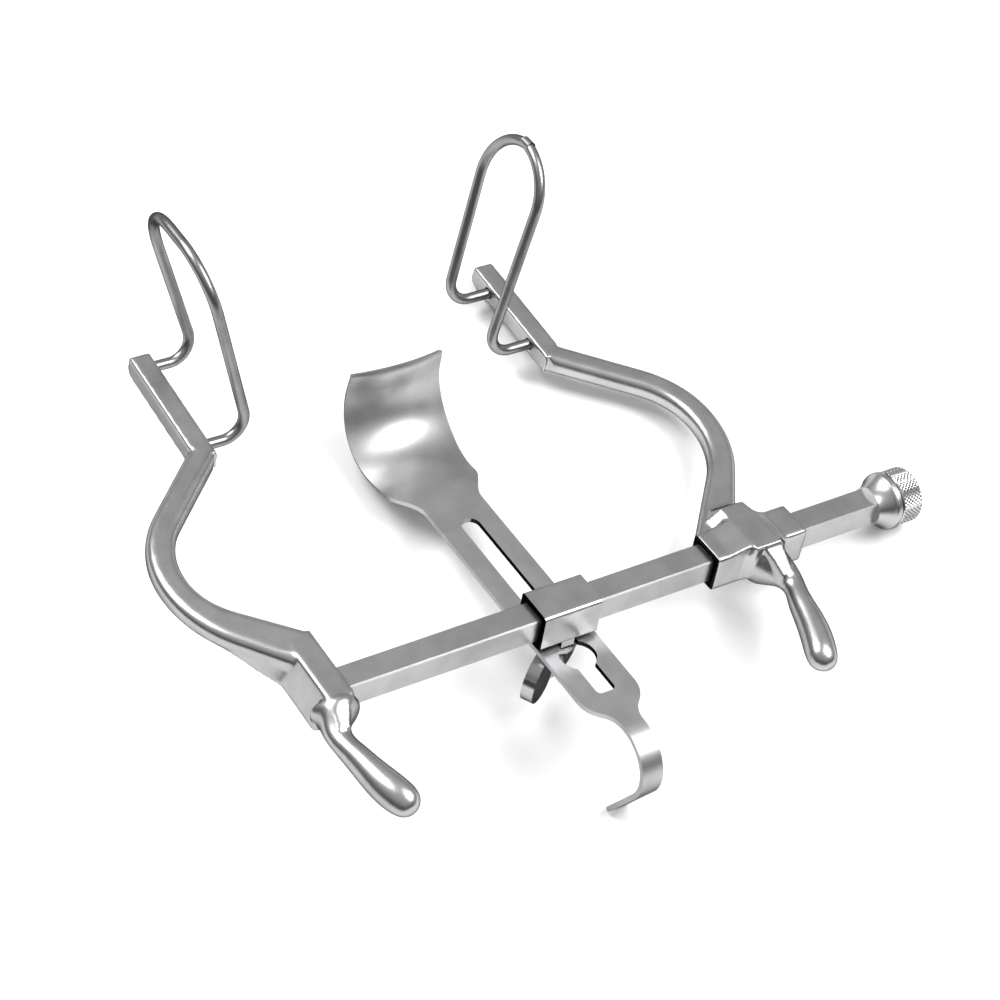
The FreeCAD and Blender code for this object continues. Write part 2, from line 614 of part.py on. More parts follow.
def make_sliding_arm():
    """Sliding arm, made at its own datum face and moved out by the opening."""
    sleeve_side = "<bar_side> + 2 * (<sleeve_wall> + <slide_gap>)"
    half = "-(<bar_side> / 2 + <sleeve_wall> + <slide_gap>)"
    sleeve = box("sleeve_blank", "<sleeve_inner> + <sleeve_outer>", sleeve_side, sleeve_side,
                 x="-<sleeve_inner>", y=half, z=half)
    doc.recompute()
    rounded = doc.addObject("Part::Fillet", "sleeve_rounded")
    rounded.Base = sleeve
    edge = size("sleeve_edge")
    rounded.Edges = [(i + 1, edge, edge) for i, e in enumerate(sleeve.Shape.Edges)
                     if abs(e.Length - size("sleeve_inner") - size("sleeve_outer")) < 1e-6]
    body = doc.addObject("PartDesign::Body", "sliding_crest")
    wall = size("bar_side") / 2 + size("sleeve_wall") + size("slide_gap")
    front = FreeCAD.Placement(Vector(0, 0, wall - size("slide_gap")), Rotation())
    section = new_sketch(body, "crest_section", "XZ_Plane", front)
    top = wall + size("ridge_height")
    left, right = size("ridge_inner"), size("ridge_inner") + size("ridge_width")
    end = 3 - size("sleeve_inner")
    draw(section, (end, 1 - wall), (end, wall - 0.4), (left, top), (right, top),
         (right + 4.5, wall - 0.6), (right + 3.5, 1 - wall))
    pad = new_pad(body, "crest_pad", section, "<bar_side> + 2 * <sleeve_wall>")
    pad.Reversed = True
    ridge = make_ridge(wall, top)
    bow, outer_corner, inner_corner = make_bow("sliding_bow", RIGHT, "sliding")
    seat = make_seat("sliding_seat", RIGHT, outer_corner, inner_corner)
    handle = make_handle("sliding_handle", RIGHT, 2 * wall - 2.4)
    brow = make_brow("sliding_brow", RIGHT, size("ridge_front"), top - 0.3, left + 3, right)
    solid = fused("sliding_forging", rounded, body, ridge, bow, seat, handle, brow)
    channel_side = "<bar_side> + 2 * <slide_gap>"
    half = "-(<bar_side> / 2 + <slide_gap>)"
    channel = box("sleeve_channel", "<sleeve_inner> + <sleeve_outer> + 4", channel_side, channel_side,
                  x="-<sleeve_inner> - 2", y=half, z=half)
    return cut("sliding_arm", solid, channel, wire_tool("sliding_wire_holes", "sliding", RIGHT))


def make_carriage():
    """Box slider with a tongue that guides the shank's slot."""
    outer = "<bar_side> + 2 * (<carriage_wall> + <slide_gap>)"
    half = "-(<bar_side> / 2 + <carriage_wall> + <slide_gap>)"
    shell = box("carriage_blank", "<carriage_length>", outer, outer,
                x="<carriage_start>", y=half, z=half)
    doc.recompute()
    rounded = doc.addObject("Part::Fillet", "carriage_rounded")
    rounded.Base = shell
    edge = size("carriage_edge")
    rounded.Edges = [(i + 1, edge, edge) for i, e in enumerate(shell.Shape.Edges)
                     if abs(e.Length - size("carriage_length")) < 1e-6]
    middle = "(<carriage_start> + <carriage_length> / 2 + <stud_offset>)"
    tongue = box("carriage_tongue", "<tongue_width>", "<tongue_length>", "<tongue_drop> + 1",
                 x=middle + " - <tongue_width> / 2", y="-<tongue_length> / 2",
                 z=half + " - <tongue_drop>")
    channel_side = "<bar_side> + 2 * <slide_gap>"
    channel = box("carriage_channel", "<carriage_length> + 4", channel_side, channel_side,
                  x="<carriage_start> - 2", y="-(<bar_side> / 2 + <slide_gap>)",
                  z="-(<bar_side> / 2 + <slide_gap>)")
    bore = cylinder("carriage_bore", "<stud_radius>", "<carriage_wall> + <tongue_drop> + 2",
                    FreeCAD.Placement())
    bind(bore, Placement__Base__x=middle, Placement__Base__z=half + " - <tongue_drop> - 1")
    return cut("blade_carriage", fused("carriage_solid", rounded, tongue), channel, bore)


STUD_X = size("carriage_start") + size("carriage_length") / 2 + size("stud_offset")
CARRIAGE_BOTTOM = -(size("bar_side") / 2 + size("carriage_wall") + size("slide_gap"))
SHANK_TOP = CARRIAGE_BOTTOM - size("shank_gap")
SHANK_BOTTOM = SHANK_TOP - size("sheet_gauge")
NUT_TOP = SHANK_BOTTOM - size("nut_gap")


def make_clamp_stud():
    stud = cylinder("stud_rod", "<stud_radius>", "<stud_end> + <carriage_wall>",
                    FreeCAD.Placement(Vector(STUD_X, 0, CARRIAGE_BOTTOM - size("stud_end")), Rotation()))
    doc.recompute()
    tip = doc.addObject("Part::Chamfer", "clamp_stud")
    tip.Base = stud
    low = CARRIAGE_BOTTOM - size("stud_end")
    tip.Edges = [(i + 1, 0.5, 0.5) for i, e in enumerate(stud.Shape.Edges)
                 if e.BoundBox.ZMax < low + 1e-3]
    return tip


def tangent_arc(start, heading, end):
    """The arc from start to end that leaves start in a direction, as middle and end."""
    chord = (end[0] - start[0], end[1] - start[1])
    along = chord[0] * heading[0] + chord[1] * heading[1]
    aside = (chord[0] - along * heading[0], chord[1] - along * heading[1])
    offset = math.hypot(*aside)
    radius = math.hypot(*chord) ** 2 / (2 * offset)
    centre = tuple(s + a / offset * radius for s, a in zip(start, aside))
    out = tuple(s + e - 2 * c for s, e, c in zip(start, end, centre))
    middle = tuple(c + o / math.hypot(*out) * radius for c, o in zip(centre, out))
    return middle + end


def wing_outline():
    """One wing seen from the side, from the hub to its rounded ear and back."""
    reach, drop = size("wing_reach"), size("wing_drop")
    root = (size("stud_radius") + 1.0, -2.6)
    ear = size("ear_radius")
    shoulder, tip = (size("nut_flange") - 0.6, -2.6), (reach, ear - drop)
    bottom, foot = (reach - ear, -drop), (root[0], -size("nut_height") + 0.4)
    upper = tangent_arc(tip, (0, 1), shoulder)
    return [root, shoulder, upper[:2] + tip, tangent_arc(tip, (0, -1), bottom),
            tangent_arc(bottom, (-1, 0), (size("nut_waist") - 0.4, foot[1])), foot]


def make_wing_nut():
    body = doc.addObject("PartDesign::Body", "nut_blank")
    top, height = 0.0, size("nut_height")
    flange, waist = size("nut_flange"), size("nut_waist")
    bore = size("stud_radius") + size("turn_gap")
    profile = new_sketch(body, "nut_profile", "XZ_Plane")
    draw(profile, (bore, top), (flange - 0.4, top), (flange, top - 0.4), (flange, top - 2.0),
         (waist + 0.5, top - height * 0.55, waist, top - height), (bore, top - height))
    turn = body.newObject("PartDesign::Revolution", "nut_turned")
    turn.Profile = profile
    turn.ReferenceAxis = (profile, ["V_Axis"])
    turn.Angle = 360
    wings = []
    for side in (LEFT, RIGHT):
        wing = doc.addObject("PartDesign::Body", "wing_%s" % ("left" if side < 0 else "right"))
        plan = new_sketch(wing, wing.Name + "_plan", "XZ_Plane")
        draw(plan, *mirrored_steps(wing_outline(), side))
        pad = new_pad(wing, wing.Name + "_pad", plan, "<wing_gauge>", both_ways=True)
        wing.Tip = pad
        wings.append(wing)
    nut = fused("wing_nut", body, *wings)
    nut.Placement = FreeCAD.Placement(Vector(STUD_X, 0, NUT_TOP),
                                      Rotation(Vector(0, 0, 1), size("wing_angle")))
    return nut


# Centre blade: shank and hook cut from strip, blade formed as a saddle.
def shank_profile(body):
    """Side view of the strip: flat shank, then the hook curling down and back."""
    level = SHANK_TOP - size("sheet_gauge") / 2
    bend, radius, half = -size("hook_bend"), size("hook_radius"), size("sheet_gauge") / 2
    centre = (bend, level - radius)
    end_angle = 90 + size("hook_turn")
    heading = math.radians(end_angle + 90)
    tail = (math.cos(heading) * size("hook_tail"), math.sin(heading) * size("hook_tail"))
    outer_end = turned(centre, radius + half, end_angle)
    inner_end = turned(centre, radius - half, end_angle)
    middle = 90 + size("hook_turn") / 2
    tip_mid = ((outer_end[0] + inner_end[0]) / 2 + tail[0] + math.cos(heading) * half,
               (outer_end[1] + inner_end[1]) / 2 + tail[1] + math.sin(heading) * half)
    profile = new_sketch(body, "shank_side", "YZ_Plane")
    draw(profile, (size("blade_start"), level + half), (bend, level + half),
         turned(centre, radius + half, middle) + outer_end,
         (outer_end[0] + tail[0], outer_end[1] + tail[1]),
         tip_mid + (inner_end[0] + tail[0], inner_end[1] + tail[1]),
         inner_end, turned(centre, radius - half, middle) + (bend, level - half),
         (size("blade_start"), level - half))
    return profile


def shank_plan(body):
    """Plan of the strip, which narrows to the hook in an S shaped shoulder."""
    wide, narrow = size("shank_width") / 2, size("hook_width") / 2
    shoulder, hook = -size("shoulder_front"), -size("hook_start")
    front = -size("hook_bend") - size("hook_radius") - size("sheet_gauge")
    middle = ((wide + narrow) / 2, (shoulder + hook) / 2)
    plan = new_sketch(body, "shank_outline", "XY_Plane")

    def shoulder_side(side):
        quarter = (side * (wide - (wide - narrow) * 0.16), shoulder + (hook - shoulder) * 0.3)
        last = (side * (narrow + (wide - narrow) * 0.10), hook - (hook - shoulder) * 0.26)
        return quarter, (side * middle[0], middle[1]), last

    right, left = shoulder_side(RIGHT), shoulder_side(LEFT)
    draw(plan, (wide, size("blade_start")), (wide, shoulder), right[0] + right[1],
         right[2] + (narrow, hook), (narrow, front), (-narrow, front), (-narrow, hook),
         left[2] + left[1], left[0] + (-wide, shoulder), (-wide, size("blade_start")))
    return plan


def smooth(share):
    share = min(max(share, 0.0), 1.0)
    return share * share * (3 - 2 * share)


def blade_station(run):
    """Middle line of the blade at a distance along it: point, heading and half width."""
    level = SHANK_TOP - size("sheet_gauge") / 2
    flat = size("blade_bend") - size("blade_start")
    radius, turn = size("blade_radius"), math.radians(size("blade_turn"))
    bend = radius * turn
    if run <= flat:
        point, heading = (size("blade_start") + run, level), 0.0
    elif run <= flat + bend:
        heading = (run - flat) / radius
        point = (size("blade_bend") + radius * math.sin(heading),
                 level + radius * (1 - math.cos(heading)))
    else:
        past = run - flat - bend
        end = (size("blade_bend") + radius * math.sin(turn), level + radius * (1 - math.cos(turn)))
        straight = min(past, size("blade_top"))
        point = (end[0] + straight * math.cos(turn), end[1] + straight * math.sin(turn))
        heading = turn
        rolled = past - straight
        if rolled > 0:
            roll = math.radians(size("lip_turn")) * rolled / size("lip_length")
            heading = turn - roll
            point = (point[0] + rolled * math.cos(turn - roll / 2),
                     point[1] + rolled * math.sin(turn - roll / 2))
    return point, heading


def blade_half_width(run):
    flat = size("blade_bend") - size("blade_start")
    start, shoulder = size("shank_width") / 2, size("blade_shoulder")
    full, lip = size("blade_half"), size("blade_lip_half")
    width = start + (shoulder - start) * smooth(run / (flat * 0.62))
    width += (full - shoulder) * smooth((run - flat * 0.55) / flat)
    end = blade_run()
    width -= (full - lip) * smooth((run - end * 0.6) / (end * 0.4))
    return width


def blade_run():
    bend = size("blade_radius") * math.radians(size("blade_turn"))
    flat = size("blade_bend") - size("blade_start")
    return flat + bend + size("blade_top") + size("lip_length")


def blade_surface(offset):
    """One face of the saddle, half the gauge above or below its middle surface."""
    along, across = 25, 9
    end, flat = blade_run(), size("blade_bend") - size("blade_start")
    grid = []
    for i in range(along):
        run = end * i / (along - 1)
        (y, z), heading = blade_station(run)
        half = blade_half_width(run)
        crown = size("blade_crown") * smooth((run - size("crown_start")) / (flat * 0.75))
        row = []
        for j in range(across):
            share = 2 * j / (across - 1) - 1
            tilt = 2 * crown * share / half
            fall = crown * share * share
            normal_x, normal_n = tilt / math.hypot(1, tilt), 1 / math.hypot(1, tilt)
            x = half * share + offset * normal_x
            n = offset * normal_n - fall
            row.append(Vector(x, y - n * math.sin(heading), z + n * math.cos(heading)))
        grid.append(row)
    surface = Part.BSplineSurface()
    surface.interpolate(grid)
    return surface.toShape()


def boundary_wires(face):
    """The four edges of a face made from a grid: first row, last row and two sides."""
    surface = face.Surface
    u0, u1, v0, v1 = surface.bounds()
    return [surface.uIso(u0).toShape(), surface.uIso(u1).toShape(),
            surface.vIso(v0).toShape(), surface.vIso(v1).toShape()]


def make_blade_saddle():
    upper = blade_surface(size("sheet_gauge") / 2)
    lower = blade_surface(-size("sheet_gauge") / 2)
    sides = [Part.makeRuledSurface(a, b)
             for a, b in zip(boundary_wires(upper), boundary_wires(lower))]
    shell = Part.makeShell([upper, lower] + sides)
    shell.sewShape()
    solid = Part.makeSolid(Part.Shell(shell.Faces))
    if solid.Volume < 0:
        solid.reverse()
    saddle = doc.addObject("Part::Feature", "blade_saddle")
    saddle.Shape = solid
    return saddle


def make_center_blade():
    side = doc.addObject("PartDesign::Body", "shank_strip")
    pad = new_pad(side, "shank_strip_pad", shank_profile(side), "<shank_width> + 4", both_ways=True)
    pad.SideType = "Symmetric"
    plan = doc.addObject("PartDesign::Body", "shank_cutter")
    new_pad(plan, "shank_cutter_pad", shank_plan(plan), "200", both_ways=True)
    strip = doc.addObject("Part::MultiCommon", "shank_and_hook")
    strip.Shapes = [side, plan]
    straight = "<slot_front> + <slot_back> - <slot_width> / 2"
    blank = box("shank_slot_blank", "<slot_width>", straight, "<sheet_gauge> * 3",
                x="-<slot_width> / 2", y="-<slot_front>")
    below = SHANK_BOTTOM - size("sheet_gauge")
    blank.Placement.Base.z = below
    doc.recompute()
    slot = doc.addObject("Part::Fillet", "shank_slot")
    slot.Base = blank
    corner, front = size("slot_corner"), -size("slot_front")
    slot.Edges = [(i + 1, corner, corner) for i, e in enumerate(blank.Shape.Edges)
                  if all(abs(v.Point.y - front) < 1e-6 for v in e.Vertexes)
                  and abs(e.Vertexes[0].Point.z - e.Vertexes[-1].Point.z) > 1]
    tools = [slot]
    for name, y, radius in (("slot_end_back", "<slot_back> - <slot_width> / 2", "<slot_width> / 2"),
                            ("keyhole", "-<keyhole_front>", "<keyhole_radius>")):
        hole = cylinder(name, radius, "<sheet_gauge> * 3",
                        FreeCAD.Placement(Vector(0, 0, below), Rotation()))
        bind(hole, Placement__Base__y=y)
        tools.append(hole)
    opening = fused("slot_and_keyhole", *tools)
    blade = cut("center_blade", fused("blade_solid", strip, make_blade_saddle()), opening)
    blade.Placement = FreeCAD.Placement(Vector(STUD_X, 0, 0), Rotation())
    return blade


def make_nodes():
    nodes = {
        "cross_bar": make_cross_bar(),
        "fixed_arm": make_fixed_arm(),
        "sliding_arm": make_sliding_arm(),
        "blade_carriage": make_carriage(),
        "clamp_stud": make_clamp_stud(),
        "wing_nut": make_wing_nut(),
        "center_blade": make_center_blade(),
        "stop_collar": make_stop_collar(),
        "end_knob": make_end_knob(),
    }
    nodes["fixed_wire_blade"] = make_wire_blade("fixed_wire_blade", "fixed", LEFT)
    nodes["sliding_wire_blade"] = make_wire_blade("sliding_wire_blade", "sliding", RIGHT)
    shift = FreeCAD.Placement(Vector(size("opening"), 0, 0), Rotation())
    for name in ("sliding_arm", "sliding_wire_blade"):
        nodes[name].Placement = shift
    return nodes


def check_and_export(nodes):
    doc.recompute()
    failed = [o.Name for o in doc.Objects if {"Invalid", "Error"} & set(o.State)]
    if failed:
        raise RuntimeError("failed objects: %s" % failed)
    os.makedirs("parts", exist_ok=True)
    for name, thing in nodes.items():
        thing.Label = name
        shape = thing.Shape
        if shape.isNull() or not shape.isValid() or not shape.Solids:
            raise RuntimeError("bad shape: %s" % name)
        shape.exportStep("parts/%s.step" % name)
        print(name, len(shape.Solids), round(shape.Volume, 1), shape.BoundBox)


check_and_export(make_nodes())
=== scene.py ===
import math

import bmesh
import bpy
from mathutils import Matrix, Vector


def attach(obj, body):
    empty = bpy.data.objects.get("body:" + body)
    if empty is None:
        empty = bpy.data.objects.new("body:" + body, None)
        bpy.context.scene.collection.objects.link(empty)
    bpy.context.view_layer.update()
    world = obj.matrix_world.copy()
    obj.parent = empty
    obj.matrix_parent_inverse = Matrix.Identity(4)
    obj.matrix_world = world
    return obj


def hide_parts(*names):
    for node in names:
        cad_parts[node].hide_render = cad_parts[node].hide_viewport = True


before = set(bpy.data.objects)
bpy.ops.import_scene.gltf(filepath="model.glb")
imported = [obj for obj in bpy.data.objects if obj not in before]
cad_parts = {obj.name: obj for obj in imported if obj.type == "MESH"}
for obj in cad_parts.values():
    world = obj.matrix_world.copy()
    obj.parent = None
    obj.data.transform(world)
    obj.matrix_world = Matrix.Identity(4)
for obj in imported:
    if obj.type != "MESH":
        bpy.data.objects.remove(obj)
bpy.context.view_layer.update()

MM = 0.001

# Steel: width in mm of the clouds that hand polishing leaves and where they begin and end in
# their noise, the near-black painted shade for faces that lie in the shadow of gaps, the tint
# that darkens steel seen at a glancing angle, and the two tones between which each finish clouds.
CLOUD_WIDTH = 9.0
CLOUD_EDGES = (0.35, 0.65)
PAINTED_SHADE = "262626"
EDGE_TINT = "3C3C3C"
SATIN = ("ACACAD", "B8B8B9")
DRAWN = ("8C8C8D", "989899")
KNURLED = ("B4B4B5", "C2C2C3")

# Forgings: grain in mm to which their skin is rebuilt, and passes of the polishing belt.
FORGING_VOXEL = 0.5
BELT_PASSES = 12

# Wing nut: width in mm of its broken edges, facets across each, and the least angle between
# two faces that counts as an edge.
BROKEN_EDGE = 0.9
EDGE_FACETS = 3
EDGE_ANGLE = math.radians(40)

# Camera, fitted to the photograph: it stands to the front left and above, with a slight
# roll because the bar doesn't lie level when the retractor stands on the table.
VIEW_AZIMUTH = math.radians(38.71)
VIEW_DOWN = math.radians(41.37)
VIEW_ROLL = math.radians(10.41)
VIEW_DISTANCE = 756.6 * MM
VIEW_TARGET = Vector((48.3, 0.0, 61.1)) * MM
LENS_MM = 90.08

# The tabletop touches the hook's tip, the underside of the centre blade and the far end of
# the sliding arm: the three points on which the instrument stands still.
REST_POINTS = [Vector((85.6, -47.05, -46.89)) * MM, Vector((100.3, 94.92, -12.84)) * MM,
               Vector((147.0, 150.94, 8.13)) * MM]

# Tabletop: width of the studio paper in metres, its grains to the metre, and its colour.
PAPER_WIDTH = 6.0
PAPER_GRAIN = 900.0
PAPER = "FAFAFA"

# Softboxes: place and size in metres and power in watts. The back one lights the top faces.
# The front one is mirrored in the saddle, the hook's bend and the roots of both handles.
BACK_SOFTBOX = ((-0.45, 0.55, 1.1), (0.8, 0.8), 13.0)
FRONT_SOFTBOX = ((0.495, -0.40, 0.83), (0.5, 0.62), 9.5)

# Studio walls as the steel mirrors them: height of the line of sight, 0 level and 1 upwards,
# and tone.
WALLS = ((0.05, "4A4A4A"), (0.6, "C6C6C6"), (1.0, "D8D8D8"))

# End screw, in mm: the same lengths and radii along X as its solid. Neck and shoulder lie below
# the drum's radius by their drops. The knurl runs from its inset behind the groove to its outset
# before the end face. The real one has about 1 mm between its grooves, and is drawn half as
# coarse again, or it would not show.
SHANK_TIP = 207.0
KNOB_START = 218.25
GROOVE_END = 218.95
KNOB_END = 227.75
KNOB_RADIUS = 10.0
SHANK_RADIUS = 2.4
SHANK_CHAMFER = 0.5
NECK_DROP = 1.2
SHOULDER_DROP = 0.6
SHOULDER_LENGTH = 0.35
KNURL_INSET = 0.5
KNURL_OUTSET = 1.3
# Rounded end of the drum: steps back from its end face and in from its radius.
END_ROUNDING = ((0.9, 0.5), (0.4, 0.8), (0.0, 1.5), (0.0, 2.5))
KNURL_TEETH = 42
KNURL_STEPS = 4
KNURL_DEPTH = 0.4


def linear(code):
    """A hex sRGB colour as linear RGBA."""
    channels = [int(code[i:i + 2], 16) / 255 for i in (0, 2, 4)]
    return [c / 12.92 if c <= 0.04045 else ((c + 0.055) / 1.055) ** 2.4 for c in channels] + [1.0]


def add(tree, kind, inputs=(), **settings):
    """Adds a node, sets its properties, then fills its inputs with values or outputs."""
    node = tree.nodes.new("ShaderNode" + kind)
    for name, value in settings.items():
        setattr(node, name, value)
    for socket, value in dict(inputs).items():
        if isinstance(value, bpy.types.NodeSocket):
            tree.links.new(value, node.inputs[socket])
        else:
            node.inputs[socket].default_value = value
    return node


def place_camera():
    """Camera aimed at the middle of the view, rolled about its line of sight."""
    forward = Vector((math.sin(VIEW_AZIMUTH) * math.cos(VIEW_DOWN),
                      math.cos(VIEW_AZIMUTH) * math.cos(VIEW_DOWN), -math.sin(VIEW_DOWN)))
    level = Vector((math.cos(VIEW_AZIMUTH), -math.sin(VIEW_AZIMUTH), 0))
    up = level.cross(forward)
    right = level * math.cos(VIEW_ROLL) + up * math.sin(VIEW_ROLL)
    up = up * math.cos(VIEW_ROLL) - level * math.sin(VIEW_ROLL)
    data = bpy.data.cameras.new("photo_camera")
    data.lens = LENS_MM
    data.clip_start = 0.01
    camera = bpy.data.objects.new("photo_camera", data)
    axes = Matrix((right, up, -forward)).transposed().to_4x4()
    camera.matrix_world = Matrix.Translation(VIEW_TARGET - forward * VIEW_DISTANCE) @ axes
    bpy.context.collection.objects.link(camera)
    bpy.context.scene.camera = camera


def floor_material():
    """Matt white studio paper: it shows only soft shadows and a faint grain."""
    material = bpy.data.materials.new("matt_white_paper")
    material.use_nodes = True
    tree = material.node_tree
    tree.nodes.clear()
    grain = add(tree, "TexNoise", {"Scale": PAPER_GRAIN, "Detail": 2.0})
    bump = add(tree, "Bump", {"Strength": 0.02, "Height": grain.outputs["Fac"]})
    shader = add(tree, "BsdfPrincipled", {"Base Color": linear(PAPER), "Roughness": 0.9,
                                          "Specular IOR Level": 0.1,
                                          "Normal": bump.outputs["Normal"]})
    add(tree, "OutputMaterial", {"Surface": shader.outputs["BSDF"]})
    return material


def place_floor():
    """Floor through the three points on which the instrument stands."""
    a, b, c = REST_POINTS
    normal = (b - a).cross(c - a).normalized()
    if normal.z < 0:
        normal.negate()
    bpy.ops.mesh.primitive_plane_add(size=PAPER_WIDTH)
    floor = bpy.context.object
    floor.name = "tabletop"
    floor.rotation_mode = "QUATERNION"
    floor.rotation_quaternion = Vector((0, 0, 1)).rotation_difference(normal)
    floor.location = a
    floor.data.materials.append(floor_material())


def place_light(name, position, size, power):
    """Softbox that faces the middle of the view."""
    data = bpy.data.lights.new(name, "AREA")
    data.shape = "RECTANGLE"
    data.size, data.size_y = size
    data.energy = power
    light = bpy.data.objects.new(name, data)
    light.location = position
    aim = VIEW_TARGET - Vector(position)
    light.rotation_euler = aim.to_track_quat("-Z", "Y").to_euler()
    bpy.context.collection.objects.link(light)


def set_world():
    """A dim studio: dark grey at table height, pale grey above, so that turned and bent
    surfaces show dark bands beside their highlights."""
    world = bpy.data.worlds.new("studio")
    bpy.context.scene.world = world
    world.use_nodes = True
    tree = world.node_tree
    tree.nodes.clear()
    direction = add(tree, "TexCoord")
    split = add(tree, "SeparateXYZ", {"Vector": direction.outputs["Generated"]})
    ramp = add(tree, "ValToRGB", {"Fac": split.outputs["Z"]})
    stops = ramp.color_ramp.elements
    stops.new(WALLS[1][0])
    for stop, (height, tone) in zip(stops, WALLS):
        stop.position, stop.color = height, linear(tone)
    shader = add(tree, "Background", {"Color": ramp.outputs["Color"], "Strength": 1.0})
    add(tree, "OutputWorld", {"Surface": shader.outputs["Background"]})


def painted_shade_mask(tree, place, low, high):
    """1 on faces turned towards -X between two corners in mm, else 0: the faces that get painted
    shade.
    """
    normal = add(tree, "SeparateXYZ", {"Vector": place.outputs["Normal"]})
    facing = add(tree, "Math", {0: normal.outputs["X"], 1: -0.5}, operation="LESS_THAN")
    spot = add(tree, "SeparateXYZ", {"Vector": place.outputs["Object"]})
    mask = facing
    for axis, (start, end) in zip("XYZ", zip(low, high)):
        middle, half = (start + end) / 2 * MM, (end - start) / 2 * MM
        inside = add(tree, "Math", {0: spot.outputs[axis], 1: middle, 2: half},
                     operation="COMPARE")
        mask = add(tree, "Math", {0: mask.outputs[0], 1: inside.outputs[0]},
                   operation="MULTIPLY")
    return mask


def steel(name, tones, roughness, stretch, streak_mm, relief_mm, painted_shade_walls=None):
    """Stainless steel with the satin of a fine belt: streaks of streak_mm width, drawn long
    along the axis whose stretch is small, relief_mm high, and faint clouds from hand
    polishing. roughness is the least and the most. The last argument gives the two corners
    of a box whose -X walls are painted near black: painted shade for the shadow in the gaps
    there."""
    material = bpy.data.materials.new(name)
    material.use_nodes = True
    tree = material.node_tree
    tree.nodes.clear()
    place = add(tree, "TexCoord")
    along = add(tree, "Mapping", {"Vector": place.outputs["Object"], "Scale": stretch})
    streaks = add(tree, "TexNoise", {"Vector": along.outputs["Vector"],
                                     "Scale": 1 / (streak_mm * MM), "Detail": 3.0,
                                     "Roughness": 0.6})
    clouds = add(tree, "TexNoise", {"Vector": place.outputs["Object"],
                                    "Scale": 1 / (CLOUD_WIDTH * MM), "Detail": 3.0})
    tint = add(tree, "ValToRGB", {"Fac": clouds.outputs["Fac"]})
    for stop, tone, at in zip(tint.color_ramp.elements, tones, CLOUD_EDGES):
        stop.position, stop.color = at, linear(tone)
    colour = tint.outputs["Color"]
    # Painted shade: -X walls inside the box turn near black, standing in for the shadow in gaps.
    if painted_shade_walls:
        mask = painted_shade_mask(tree, place, *painted_shade_walls)
        colour = add(tree, "Mix", {"Factor": mask.outputs[0], "A": colour,
                                   "B": linear(PAINTED_SHADE)}, data_type="RGBA").outputs["Result"]
    gloss = add(tree, "MapRange", {"Value": streaks.outputs["Fac"], "To Min": roughness[0],
                                   "To Max": roughness[1]})
    bump = add(tree, "Bump", {"Height": streaks.outputs["Fac"], "Strength": 1.0,
                              "Distance": relief_mm * MM})
    shader = add(tree, "BsdfPrincipled", {"Base Color": colour, "Metallic": 1.0,
                                          "Roughness": gloss.outputs["Result"],
                                          "Specular Tint": linear(EDGE_TINT),
                                          "Normal": bump.outputs["Normal"]})
    add(tree, "OutputMaterial", {"Surface": shader.outputs["BSDF"]})
    return material


def knob_profile():
    """Rings of the end screw from its shank to its end face: place along X, radius and
    share of the knurl's depth."""
    rings = [(SHANK_TIP, SHANK_RADIUS - SHANK_CHAMFER, 0),
             (SHANK_TIP + SHANK_CHAMFER, SHANK_RADIUS, 0), (KNOB_START, SHANK_RADIUS, 0),
             (KNOB_START, KNOB_RADIUS - NECK_DROP, 0), (GROOVE_END, KNOB_RADIUS - NECK_DROP, 0),
             (GROOVE_END, KNOB_RADIUS - SHOULDER_DROP, 0),
             (GROOVE_END + SHOULDER_LENGTH, KNOB_RADIUS - KNURL_DEPTH, 0)]
    start, end = GROOVE_END + KNURL_INSET, KNOB_END - KNURL_OUTSET
    pitch = 2 * math.pi * KNOB_RADIUS / KNURL_TEETH
    steps = round((end - start) / pitch * KNURL_STEPS)
    for i in range(steps + 1):
        rings.append((start + i * pitch / KNURL_STEPS, KNOB_RADIUS, 1))
    return rings + [(KNOB_END - back, KNOB_RADIUS - drop, 0) for back, drop in END_ROUNDING]


def knurl_drop(around, along):
    """Depth of the knurl below its tips, 0 to 1, at a place counted in teeth: two sets of
    grooves cross and leave small pyramids."""
    return max(abs((around + along) % 1 - 0.5), abs((around - along) % 1 - 0.5)) * 2


def make_knob():
    """End screw with a diamond knurl cut into its drum."""
    shape = bmesh.new()
    count = KNURL_TEETH * KNURL_STEPS
    pitch = 2 * math.pi * KNOB_RADIUS / KNURL_TEETH
    rows = []
    for x, radius, knurl in knob_profile():
        row = []
        for i in range(count):
            drop = knurl * KNURL_DEPTH * knurl_drop(i / KNURL_STEPS, (x - GROOVE_END) / pitch)
            angle = 2 * math.pi * i / count
            row.append(shape.verts.new((x * MM, (radius - drop) * math.cos(angle) * MM,
                                        (radius - drop) * math.sin(angle) * MM)))
        rows.append(row)
    for row, after in zip(rows, rows[1:]):
        for i in range(count):
            j = (i + 1) % count
            shape.faces.new((row[i], after[i], after[j], row[j]))
    for row, x in ((rows[0], SHANK_TIP), (rows[-1], KNOB_END)):
        centre = shape.verts.new((x * MM, 0, 0))
        for i in range(count):
            shape.faces.new((row[i], row[(i + 1) % count], centre))
    bmesh.ops.recalc_face_normals(shape, faces=shape.faces)
    mesh = bpy.data.meshes.new("knurled_knob")
    shape.to_mesh(mesh)
    shape.free()
    knob = bpy.data.objects.new("knurled_knob", mesh)
    bpy.context.collection.objects.link(knob)
    # Knurled stainless steel: bright, each tip of the knurl a small glint.
    mesh.materials.append(steel("knurled_steel", KNURLED, (0.14, 0.22), (1, 1, 1), 0.4, 0.001))
    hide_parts("end_knob")
    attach(knob, "knob")


